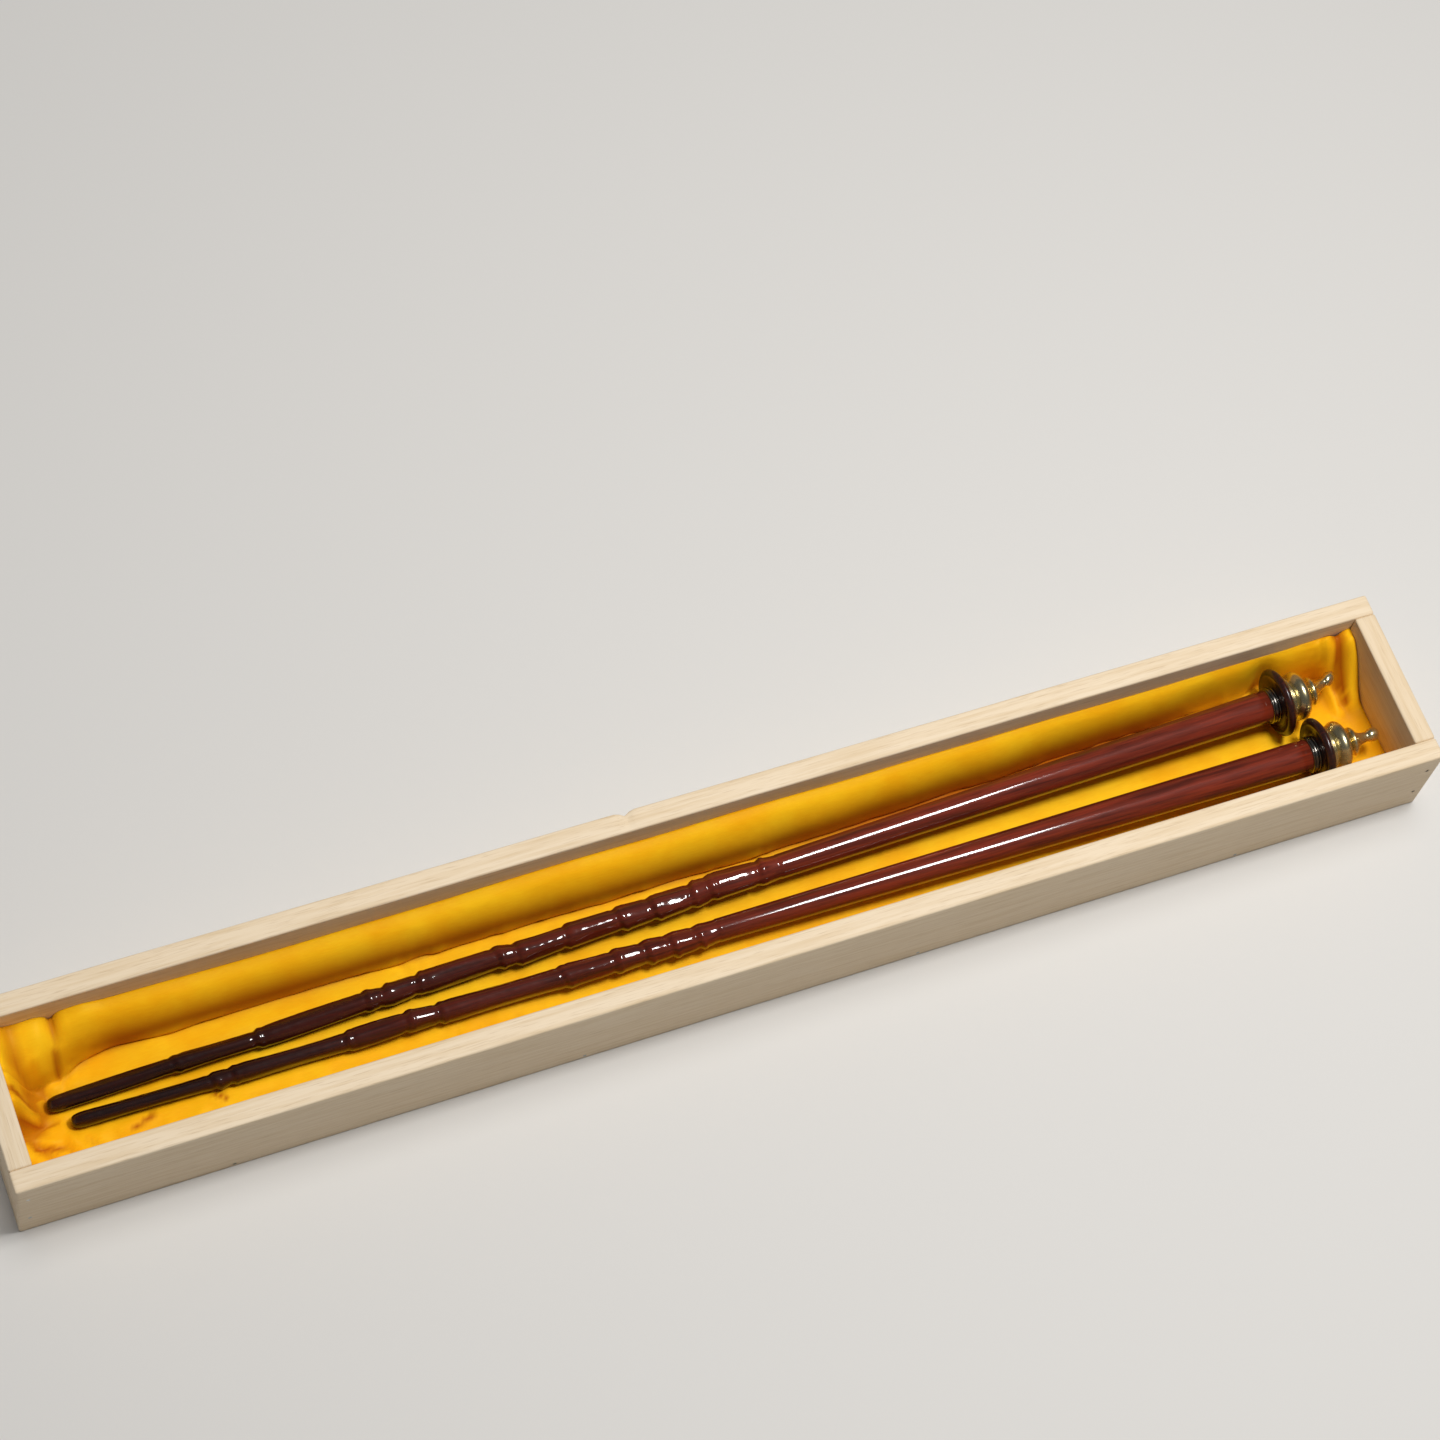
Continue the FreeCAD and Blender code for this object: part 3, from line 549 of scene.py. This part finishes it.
# pleats pinched in by hand: from x, y to x, y, how tall (hollows are below 0) and how wide, all in mm
pleats = [
    (-222, 7, -213, 1.5, 2.4, 1.5), (-222, 3, -215, -1.5, -1.2, 1.2), (-222, -1, -214, -2.5, 2.2, 1.3),
    (-221, -4.5, -211, -5.5, -1.2, 1.4), (-220, -7.5, -205, -6.2, 1.8, 1.5), (-212, 12, -209, 6, 1.5, 1.4),
    (-206, 13, -206.5, 9, -0.9, 1.2), (-219, -11, -212, -12.5, -1.0, 1.0), (-214, -9.5, -208, -11, 1.2, 1.3),
    (-190, -12.4, -184, -10.6, -1.3, 0.9), (-194, -12, -186, -10, 1.3, 1.1),
    (-165, -10, -162, -12, -1.1, 0.8), (-170, -14, -166, -11.5, 1.1, 1.0), (-200, -12, -196, -9.5, 1.2, 1.2),
    (214.4, 21, 215.4, 4, 2.6, 1.3), (218.2, 22, 218.0, 6, -1.8, 1.7), (221.6, 19, 220.8, 4, 2.2, 1.2),
    (216.5, 8, 221, 5.5, 1.3, 1.1),
]
wallLow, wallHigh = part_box("satin_cover")
floorZ = wallHigh.z
enlarge = 10  # cloth is simulated ten times life size, where the solver is at home


def rollShape(x):
    # the roll's width and height at a place along the case, all in metres
    s = x / mm
    flange = places["rear"].translation.x / mm
    narrow, narrowFrom, narrowTo = rollWidths["right"]
    width = mix(lining["rollWidth"], narrow, smoothStep(narrowFrom, flange + narrowTo, s))
    width = mix(width, notch["width"], bell(s - flange - notch["place"], notch["spread"]))
    for wide, low, high in (rollWidths["behind"], rollWidths["end"]):
        width = mix(width, wide, smoothStep(flange + low, flange + high, s))
    wide, low, high = rollWidths["left"]
    width = mix(width, wide, smoothStep(low, high, s))
    width += unevenRoll["width"] * noise.noise(Vector((s * unevenRoll["closeWidth"], 5, 0)))
    sag, *bumps = rollHeights["swells"]
    height = lining["rollHeight"]
    height += unevenRoll["height"] * noise.noise(Vector((s * unevenRoll["closeHeight"], 0, 0)))
    height += sag[0] * bell(s - sag[1], sag[2])
    tall, low, high = rollHeights["end"]
    height = mix(height, tall, smoothStep(flange + low, flange + high, s))
    for rise, place, spread in bumps:
        height += rise * bell(s - place, spread)
    return width * mm, height * mm


def liningPoint(x, v):
    # v runs from 0 at the top of the front wall's tuck to 1 at the back of the roll
    width, height = rollShape(x)
    crease = wallHigh.y - width
    front = wallLow.y + 0.3 * mm
    tuck, flat = lining["tuckEnd"], lining["floorEnd"]
    lean = lining["tuckLean"] * mm
    if v < tuck:
        t = v / tuck
        rise = lining["frontRise"] * (1 + 0.25 * noise.noise(Vector((x * 60, 9, 0))))
        return Vector((x, front + lean * t ** 3, floorZ + rise * mm * (1 - t) ** 1.3))
    if v < flat:
        t = (v - tuck) / (flat - tuck)
        return Vector((x, mix(front + lean, crease, t), floorZ))
    angle = (v - flat) / (1 - flat) * math.pi / 2
    level = max(math.cos(angle), 0.0)
    up = height * math.sin(angle)
    share = up / (lining["bellyHeight"] * mm)
    belly = min(width / (lining["rollWidth"] * mm), 1.0) * lining["belly"] * mm
    belly *= smoothStep(-208, -190, x / mm) * (1 - smoothStep(150, 185, x / mm))
    out = width * level ** 0.9 + belly * share * math.exp(1 - share) * level ** 0.5
    pinch = bell(x / mm - topPinch["x"], topPinch["spread"]) * math.sin(angle) ** 5 * mm
    y = wallHigh.y - out + topPinch["out"] * pinch * level
    return Vector((x, y, floorZ + up - topPinch["down"] * pinch))


def softMax(a, b, width):
    # the larger of two heights, with the corner between them rounded off
    near = max(width - abs(a - b), 0.0) / width
    return max(a, b) + near * near * width / 4


# how high the cloth climbs each end wall at the back and at the front of the case, and between which two
# places across the case the one height passes into the other, all in mm
climb = {"left": (22, 4.5), "leftAcross": (-7.5, -1.5), "right": (18.5, 3), "rightAcross": (2, 19)}


def endRise(point):
    # the cloth climbs the left wall behind the tips and fills the far right corner
    x, y = point.x / mm, point.y / mm
    behind = smoothStep(*climb["leftAcross"], y)
    left = climb["left"][0] * smoothStep(-214.2, -222.6, x) * behind
    left += climb["left"][1] * smoothStep(-219, -222.6, x) * (1 - behind)
    behind = smoothStep(*climb["rightAcross"], y)
    corner = climb["right"][0] * behind * smoothStep(214, 221.5, x)
    corner += climb["right"][1] * smoothStep(217, 222.5, x) * (1 - behind)
    return softMax(left, corner, 0.5) * mm


def pleatHeight(x, y):
    height = 0.0
    for x0, y0, x1, y1, tall, wide in pleats:
        run = Vector((x1 - x0, y1 - y0))
        t = min(max(Vector((x - x0, y - y0)).dot(run) / run.length_squared, 0.0), 1.0)
        away = (Vector((x - x0, y - y0)) - run * t).length
        height += tall * bell(away, wide)
    return height


# a fan round a point by the tips, a bunch in the left front corner, and ripples along the front wall
gathers = {
    "fanX": -203, "fanY": 1, "fan": 0.5, "rays": 8,  # where it spreads from, its height, and its folds
    "bunch": 1.6, "bunchWave": 0.9, "ripple": 0.9,  # mm
}


def folds(point):
    # the height of what is gathered by hand before the cloth settles
    x, y = point.x / mm, point.y / mm
    height = 0.0
    atTips = smoothStep(-196, -208, x)
    if atTips > 0:
        across, back = y - gathers["fanY"], gathers["fanX"] - x
        angle = math.atan2(across, back)
        reach = math.hypot(across, back)
        fan = gathers["fan"] * smoothStep(3, 12, reach) * math.sin(gathers["rays"] * angle + 0.8)
        bunch = gathers["bunch"] + gathers["bunchWave"] * math.sin(x * 0.9 + 0.6 * y)
        height += atTips * (fan + bunch * smoothStep(-7, -10, y))
    height += pleatHeight(x, y)
    nearWall = smoothStep(-9, -15, y) * (0.35 + 0.65 * smoothStep(20, -120, x))
    height += nearWall * gathers["ripple"] * (0.5 + noise.noise(Vector((x * 0.22, y * 0.05, 3))))
    return height * mm


# what the cloth keeps off, in mm: past the tip, as far as the spire's end, round the shaft, and then the
# radii of the parts at the butt
keepOff = {"tip": 1.5, "spire": 25.0, "shaft": 0.7, "least": 6.0, "flange": 11.5, "bulb": 8.8, "ball": 2.6}


def stickRadius(s):
    # how thick a stick is at a place along it, in mm, with something to spare
    if s <= -4:
        return taperRadius(min(-s / stick["shaftMm"], 1)) + keepOff["shaft"]
    flange = keepOff["flange"] * (1 - smoothStep(2.2, 6.5, abs(s - 1.5)))
    bulb = keepOff["bulb"] * (1 - smoothStep(4, 9, abs(s - 7)))
    return mix(max(keepOff["least"], flange, bulb), keepOff["ball"], smoothStep(14, keepOff["spire"], s))


def clearOfSticks(point):
    # pushes a point of cloth off a stick: down from below its axis, sideways from above it
    for place in places.values():
        local = place.inverted() @ point
        s = local.z / mm
        if s < -stick["shaftMm"] - keepOff["tip"] or s > keepOff["spire"]:
            continue
        radius = (stickRadius(s) + lining["clear"]) * mm
        axis = place @ Vector((0, 0, local.z))
        dy, dz = point.y - axis.y, point.z - axis.z
        if math.hypot(dy, dz) >= radius and not (dz > 0 and abs(dy) < radius):
            continue
        if dz > 0 or abs(dy) > 0.75 * radius:
            away = radius if dz > 0 else math.sqrt(max(radius**2 - dz**2, 0))
            point.y = min(axis.y + math.copysign(away, dy), wallHigh.y)
        else:
            point.z = max(axis.z - math.sqrt(max(radius**2 - dy**2, 0)), floorZ - 0.2 * mm)
    return point


def liningSheet(lift, folded):
    # the grid that the cloth starts from, or with lift below 0 the padding that it rests on
    length = wallHigh.x - wallLow.x
    bm = bmesh.new()
    bmesh.ops.create_grid(bm, x_segments=int(length / (lining["step"] * mm)), y_segments=lining["rows"],
                          size=0.5)
    pinned = []
    for v in bm.verts:
        u, w = v.co.x + 0.5, v.co.y + 0.5
        point = liningPoint(wallLow.x + u * length, w)
        rise = endRise(point)
        point.z = softMax(point.z, floorZ + rise, 5 * mm) if rise > 0.05 * mm else point.z
        point.z += folds(point) if folded else 0.0
        point = clearOfSticks(point)
        v.co = point
        if u < 0.001 or u > 0.999 or w < 0.001 or w > 0.999:
            pinned.append(v.index)
    bmesh.ops.recalc_face_normals(bm, faces=bm.faces)
    bm.normal_update()
    up = 1 if sum(f.normal.z for f in bm.faces) > 0 else -1
    for v in bm.verts:
        v.co += v.normal * up * lift * mm
    if up < 0:
        bmesh.ops.reverse_faces(bm, faces=bm.faces)
    return bm, pinned


def bareObject(name, bm):
    mesh = bpy.data.meshes.new(name)
    bm.to_mesh(mesh)
    bm.free()
    holder = bpy.data.objects.new(name, mesh)
    scene.collection.objects.link(holder)
    return holder


def stickGuards():
    # plain copies of the sticks, a little fat, that the falling cloth meets
    guards = []
    for side, place in places.items():
        length = stick["shaftMm"]
        # (radius, place along the stick) in mm: the tip, the shaft, the flange, the bulb and the spire
        outline = [(0, -length - 0.4), (1.6, -length - 0.3), (2.4, -length + 1)]
        outline += [(taperRadius(t) + 1.0, -length * t) for t in (0.97, 0.9, 0.8, 0.6, 0.43, 0.2, 0.03)]
        outline += [(6.2, -3), (6.2, -0.4), (11.5, -0.3), (11.5, 3.3), (9.0, 3.6)]
        outline += [(8.5, 8), (5.2, 12), (5.0, 14.5)]
        outline += [(2.6, 17), (2.6, 23), (0, 23.4)]
        bm = spinOutline(outline, 20, closed=False)
        bmesh.ops.transform(bm, matrix=place, verts=bm.verts)
        guards.append(bareObject(f"{side}Guard", bm))
    return guards


def settle(piece, pinned, obstacles, look):
    # runs the cloth with its edges held, then keeps the settled shape
    for holder in [piece, *obstacles]:
        holder.data.transform(Matrix.Scale(enlarge, 4))
    piece.vertex_groups.new(name="held").add(pinned, 1.0, "REPLACE")
    cloth = piece.modifiers.new("cloth", "CLOTH")
    for key, value in look["settings"].items():
        setattr(cloth.settings, key, value)
    for key, value in look["collision"].items():
        setattr(cloth.collision_settings, key, value)
    cloth.settings.vertex_group_mass = "held"
    cloth.settings.effector_weights.gravity = look["gravity"]
    cloth.point_cache.frame_start = 1
    cloth.point_cache.frame_end = look["frames"]
    for holder in obstacles:
        holder.modifiers.new("obstacle", "COLLISION")
        for key, value in look["obstacle"].items():
            setattr(holder.collision, key, value)
    for frameNumber in range(1, look["frames"] + 1):
        scene.frame_set(frameNumber)
    settled = piece.evaluated_get(bpy.context.evaluated_depsgraph_get()).data
    points = [v.co / enlarge for v in settled.vertices]
    piece.modifiers.clear()
    piece.vertex_groups.clear()
    for v, point in zip(piece.data.vertices, points):
        v.co = point
    for holder in obstacles:
        bpy.data.objects.remove(holder)
    scene.frame_set(1)


def soften(piece, held, rounds):
    # takes the sharpest kinks out of the settled cloth, and leaves its edges where they are
    bm = bmesh.new()
    bm.from_mesh(piece.data)
    fixed = set(held)
    free = [v for v in bm.verts if v.index not in fixed]
    for _ in range(rounds):
        bmesh.ops.smooth_vert(bm, verts=free, factor=0.5, use_axis_x=True, use_axis_y=True,
                              use_axis_z=True)
    bm.to_mesh(piece.data)
    bm.free()


def markPaintedShade(piece, look):
    # writes painted shade for the satin: how deep in a fold each point lies, from how far a smoothed copy
    # stands above it, with the roll's overhung foot and the pleats' hollows added
    bm = bmesh.new()
    bm.from_mesh(piece.data)
    bm.normal_update()
    bm.verts.ensure_lookup_table()
    before = [(v.co.copy(), v.normal.copy()) for v in bm.verts]
    for _ in range(look["rounds"]):
        bmesh.ops.smooth_vert(bm, verts=bm.verts, factor=0.5, use_axis_x=True, use_axis_y=True,
                              use_axis_z=True)
    depths = [(v.co - point).dot(normal) for v, (point, normal) in zip(bm.verts, before)]
    bm.free()
    layer = piece.data.attributes.new("hollow", "FLOAT", "POINT")
    for i, depth in enumerate(depths):
        share = min(max(depth / (look["fullMm"] * mm), 0.0), 1.0)
        # painted shade under the roll's overhang, at its foot, where the colour is deepest
        point = before[i][0]
        behind = (point.y - wallHigh.y) / mm + lining["rollWidth"] + lining["belly"] + 0.5
        foot = smoothStep(0, 1.5, behind) * (1 - smoothStep(5, 15.5, (point.z - floorZ) / mm))
        foot *= smoothStep(-205, -185, point.x / mm) * (1 - smoothStep(150, 185, point.x / mm))
        # painted shade in the hollows of the pleats
        pleatShade = min(max(-pleatHeight(point.x / mm, point.y / mm), 0.0), 1.0) * look["pleatShade"]
        layer.data[i].value = max(share * look["most"], foot * look["foot"], pleatShade)


def makeLining():
    bm, pinned = liningSheet(lining["lift"], True)
    piece = meshPiece("satinLining", bm, "root", satin)
    start = [v.co.copy() for v in piece.data.vertices]
    padding = bareObject("padding", liningSheet(-lining["padInside"], False)[0])
    settle(piece, pinned, [padding, *stickGuards()], {
        "frames": lining["frames"], "gravity": 1.0,
        "settings": {"quality": 6, "mass": 0.25, "tension_stiffness": 12, "compression_stiffness": 12,
                     "shear_stiffness": 4, "bending_stiffness": 0.4, "air_damping": 2.0,
                     "shrink_min": -lining["slack"]},
        "collision": {"use_collision": True, "distance_min": 0.002, "collision_quality": 3,
                      "use_self_collision": False},
        "obstacle": {"thickness_outer": 0.002, "thickness_inner": 0.02, "cloth_friction": 12}})
    moved = max((v.co - p).length for v, p in zip(piece.data.vertices, start)) / mm
    print(f"lining settled, furthest move {moved:.2f} mm")
    for v in piece.data.vertices:
        # nothing goes into a board
        v.co.x = min(max(v.co.x, wallLow.x), wallHigh.x)
        v.co.y = min(max(v.co.y, wallLow.y), wallHigh.y)
        v.co.z = max(v.co.z, floorZ - 0.1 * mm)
    soften(piece, pinned, lining["soften"])
    markPaintedShade(piece, {"rounds": 30, "fullMm": 1.2, "most": 0.7, "foot": 0.9, "pleatShade": 0.9})
    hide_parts("satin_cover", "roll_sleeve", "rear_tuck", "front_tuck", "left_gather", "right_flap")
    fold = piece.modifiers.new("thickness", "SOLIDIFY")
    fold.thickness = lining["thickness"] * mm
    fold.offset = -1


rollCore = {
    "inset": 1.4, "widest": 7.5, "gap": 0.4,  # mm below the satin, mm wide at most, and mm off the walls
    "fromWall": 28.0, "toFlange": 10.0,  # mm from the left wall, and short of the rear flange
    "around": 20, "step": 4.0, "capInset": 0.4,
    "middle": 0.42, "reach": 0.40,  # a rounded form inside the quarter round, as shares of its sides
    "endShrink": 0.35, "endMm": 3.0,  # how much thinner it is at its ends, and over how far
    "fill": 0.6,  # how full it is
}


def makeRollCore():
    # the stuffed roll that the satin is laid over, along the rear wall
    start = wallLow.x + rollCore["fromWall"] * mm
    length = places["rear"].translation.x - rollCore["toFlange"] * mm - start
    inset, gap = rollCore["inset"] * mm, rollCore["gap"] * mm
    bm = bmesh.new()
    bmesh.ops.create_cone(bm, cap_ends=True, cap_tris=False, segments=rollCore["around"], radius1=1.0,
                          radius2=1.0, depth=1.0)
    along = [e for e in bm.edges if abs(e.verts[0].co.z - e.verts[1].co.z) > 0.5]
    bmesh.ops.subdivide_edges(bm, edges=along, cuts=int(length / (rollCore["step"] * mm)),
                              use_grid_fill=True)
    caps = [f for f in bm.faces if abs(f.normal.z) > 0.9]
    bmesh.ops.inset_region(bm, faces=caps, thickness=rollCore["capInset"])
    for v in bm.verts:
        x = start + (v.co.z + 0.5) * length
        width, height = rollShape(x)
        width = min(width, rollCore["widest"] * mm) - inset
        height -= inset
        fromEnd = min(v.co.z + 0.5, 0.5 - v.co.z) * length / mm
        rim = math.hypot(v.co.x, v.co.y)
        size = 1 - rollCore["endShrink"] * bell(fromEnd, rollCore["endMm"]) * rim
        y = (rollCore["middle"] - v.co.x * rollCore["reach"]) * width * size
        z = (rollCore["middle"] + v.co.y * rollCore["reach"]) * height * size
        v.co = Vector((x, wallHigh.y - gap - y, floorZ + gap + z))
    bmesh.ops.recalc_face_normals(bm, faces=bm.faces)
    piece = meshPiece("rollCore", bm, "root", wadding)
    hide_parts("rear_roll")


makeLining()
makeRollCore()
print("lining made")


# ---- stage, light and camera

stageLook = {
    "floor": "DAD7D2", "floorHalf": 6.0,  # the colour, and half its width in metres
    "world": "C9CBD0", "worldStrength": 0.14,
    "overhead": 1.2, "overheadSpread": 30, "overheadTurn": (-8, 5),  # strength, then degrees
}
keyLight = {"place": (0.30, -0.04, 1.00), "target": (0.02, 0, 0), "size": (0.25, 0.15), "watts": 6.4}


def makeStage():
    bm = bmesh.new()
    bmesh.ops.create_grid(bm, x_segments=1, y_segments=1, size=stageLook["floorHalf"])
    mesh = bpy.data.meshes.new("floor")
    bm.to_mesh(mesh)
    bm.free()
    floor = bpy.data.objects.new("floor", mesh)
    scene.collection.objects.link(floor)
    surface = {"Base Color": toLinear(stageLook["floor"]), "Roughness": 0.8}
    mesh.materials.append(newMaterial("floorPainted", surface)[0])
    world = bpy.data.worlds.new("studio")
    scene.world = world
    world.use_nodes = True
    world.node_tree.nodes["Background"].inputs[0].default_value = toLinear(stageLook["world"])
    world.node_tree.nodes["Background"].inputs[1].default_value = stageLook["worldStrength"]


def addKeyLight():
    lamp = bpy.data.lights.new("keyLight", "AREA")
    lamp.shape = "RECTANGLE"
    lamp.size, lamp.size_y = keyLight["size"]
    lamp.energy = keyLight["watts"]
    holder = bpy.data.objects.new("keyLight", lamp)
    holder.location = keyLight["place"]
    aim = Vector(keyLight["target"]) - Vector(keyLight["place"])
    holder.rotation_euler = aim.to_track_quat("-Z", "Y").to_euler()
    scene.collection.objects.link(holder)


def addOverheadLight():
    # an even overhead light, so that the floor stays pale at a distance
    lamp = bpy.data.lights.new("overheadLight", "SUN")
    lamp.energy = stageLook["overhead"]
    lamp.angle = math.radians(stageLook["overheadSpread"])
    holder = bpy.data.objects.new("overheadLight", lamp)
    holder.visible_glossy = False  # it lights, and leaves no streak of its own on the lacquer
    turnX, turnY = stageLook["overheadTurn"]
    holder.rotation_euler = (math.radians(turnX), math.radians(turnY), 0)
    scene.collection.objects.link(holder)


view = {
    "place": (-0.2957, -0.3869, 1.0841), "target": (0.0200, 0.0570, 0.0170),  # metres
    "roll": 16.33, "lens": 96.05, "sensor": 36.0,  # degrees, then mm
}


def addCamera():
    camera = bpy.data.cameras.new("camera")
    camera.lens = view["lens"]
    camera.sensor_width = view["sensor"]
    camera.clip_start = 0.01
    holder = bpy.data.objects.new("camera", camera)
    place, target = Vector(view["place"]), Vector(view["target"])
    roll = Matrix.Rotation(math.radians(view["roll"]), 3, "Z")
    turn = (target - place).to_track_quat("-Z", "Y").to_matrix() @ roll
    holder.matrix_world = Matrix.Translation(place) @ turn.to_4x4()
    scene.collection.objects.link(holder)
    scene.camera = holder


makeStage()
addKeyLight()
addOverheadLight()
addCamera()
scene.view_settings.view_transform = "Standard"
print("stage made")
